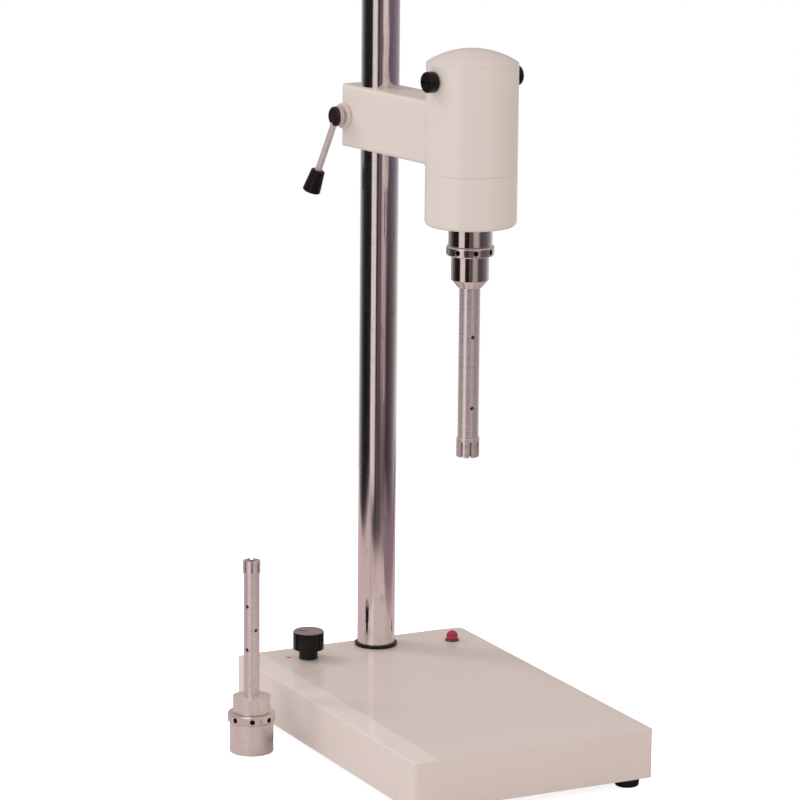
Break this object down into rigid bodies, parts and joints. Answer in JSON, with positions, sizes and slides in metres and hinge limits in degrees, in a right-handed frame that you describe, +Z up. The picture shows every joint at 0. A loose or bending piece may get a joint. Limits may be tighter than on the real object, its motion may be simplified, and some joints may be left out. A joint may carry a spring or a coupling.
{
  "type": "high-speed homogenizer",
  "caption": "Bench homogenizer: motor housing on an arm clamped to a round column, box base with speed knob and lamp, rotor-stator working head, and a loose spare head.",
  "frame": {"origin": "on the floor, under the middle of the box that holds the stand and the spare head at rest", "axes": "+Z up, -Y to the front of the base, +X to the right of someone facing that front"},
  "size_m": [0.2514, 0.334, 0.6002],
  "materials": {
    "painted_beige": "smooth semi-gloss paint",
    "zinc_steel": "zinc plated",
    "black_screws": "black oxide",
    "rubber": "moulded, matt",
    "chrome": "polished chromium plate",
    "black_plastic": "moulded, fine satin",
    "black_gloss": "moulded, glossy",
    "grey_metal": "plated case",
    "red_lens": "clear red moulding",
    "board_green": "solder resist",
    "board_parts": "moulded component bodies",
    "bright_steel": "ground",
    "polished_steel": "turned stainless, bright",
    "satin_washer": "satin",
    "white_ptfe": "low-friction polymer",
    "laminations": "stacked laminations",
    "copper": "copper, lacquered",
    "brass": "turned",
    "carbon": "pressed graphite",
    "fan_plastic": "glass-filled nylon"
  },
  "bodies": {
    "stand": {"base_shell": "painted_beige", "bottom_plate": "zinc_steel", "base_screws": "black_screws", "rubber_feet": "rubber", "column_flange": "zinc_steel", "column": "chrome", "column_nut": "zinc_steel", "column_foot_ring": "black_plastic", "potentiometer": "grey_metal", "pot_nut": "zinc_steel", "lamp_housing": "black_plastic", "lamp_lens": "red_lens", "control_board": "board_green", "board_parts": "board_parts", "board_standoffs": "zinc_steel", "mains_inlet": "black_plastic", "base_grommet": "rubber"},
    "knob": {"speed_knob": "black_gloss", "pot_shaft": "bright_steel"},
    "liner": {"column_liner": "white_ptfe"},
    "arm": {"arm_casting": "painted_beige", "motor_dome": "painted_beige", "lower_housing": "painted_beige", "housing_screws": "black_screws", "nose_bush": "polished_steel", "clamp_washer": "satin_washer", "clamp_nut": "zinc_steel", "field_stator": "laminations", "field_coils": "copper", "brush_holders": "brass", "carbon_brushes": "carbon", "brush_springs": "bright_steel", "brush_caps": "black_gloss", "upper_bearing": "bright_steel", "lower_bearing": "bright_steel", "motor_grommet": "rubber"},
    "lever": {"clamp_stud": "bright_steel", "lever_hub": "black_screws", "lever_rod": "bright_steel", "lever_grip": "black_gloss"},
    "armature": {"motor_shaft": "bright_steel", "armature_core": "laminations", "armature_windings": "copper", "commutator": "copper", "cooling_fan": "fan_plastic"},
    "head": {"head_sleeve": "polished_steel", "lock_ring": "polished_steel", "head_body": "polished_steel", "stator_tube": "polished_steel", "tube_bushes": "white_ptfe"},
    "head_shaft": {"drive_shaft": "bright_steel", "rotor": "polished_steel"},
    "spare": {"spare_sleeve": "polished_steel", "spare_lock_ring": "polished_steel", "spare_body": "polished_steel", "spare_stator_tube": "polished_steel", "spare_bushes": "white_ptfe"},
    "spare_shaft": {"spare_drive_shaft": "bright_steel", "spare_rotor": "polished_steel"}
  },
  "joints": [
    {"name": "arm_slide", "type": "slide", "parent": "stand", "child": "liner", "axis": [0, 0, 1], "range_m": [-0.15, 0.095]},
    {"name": "arm_swivel", "type": "hinge", "parent": "liner", "child": "arm", "pos_m": [0.03968, 0.12596, 0.4717], "axis": [0, 0, 1], "range_deg": [-170, 170]},
    {"name": "clamp_lever", "type": "hinge", "parent": "arm", "child": "lever", "pos_m": [0.03665, 0.14719, 0.4717], "axis": [0.99, 0.1409, 0], "range_deg": [-130, 20]},
    {"name": "speed_knob_turn", "type": "hinge", "parent": "stand", "child": "knob", "pos_m": [-0.02683, 0.11196, 0.06], "axis": [0, 0, -1], "range_deg": [0, 300]},
    {"name": "armature_spin", "type": "hinge", "parent": "arm", "child": "armature", "pos_m": [0.05686, 0.00518, 0.5157], "axis": [0, 0, 1], "continuous": true},
    {"name": "head_release", "type": "slide", "parent": "arm", "child": "head", "axis": [0, 0, -1], "range_m": [0, 0.025]},
    {"name": "head_shaft_spin", "type": "hinge", "parent": "head", "child": "head_shaft", "pos_m": [0.05686, 0.00518, 0.4129], "axis": [0, 0, 1], "continuous": true},
    {"name": "spare_lift", "type": "slide", "parent": "stand", "child": "spare", "axis": [0, 0, 1], "range_m": [0, 0.09]},
    {"name": "spare_shaft_spin", "type": "hinge", "parent": "spare", "child": "spare_shaft", "pos_m": [-0.10733, 0.04396, 0], "axis": [0, 0, 1], "continuous": true}
  ],
  "couplings": [
    {"joint": "head_shaft_spin", "follows": "armature_spin", "ratio": 1}
  ]
}
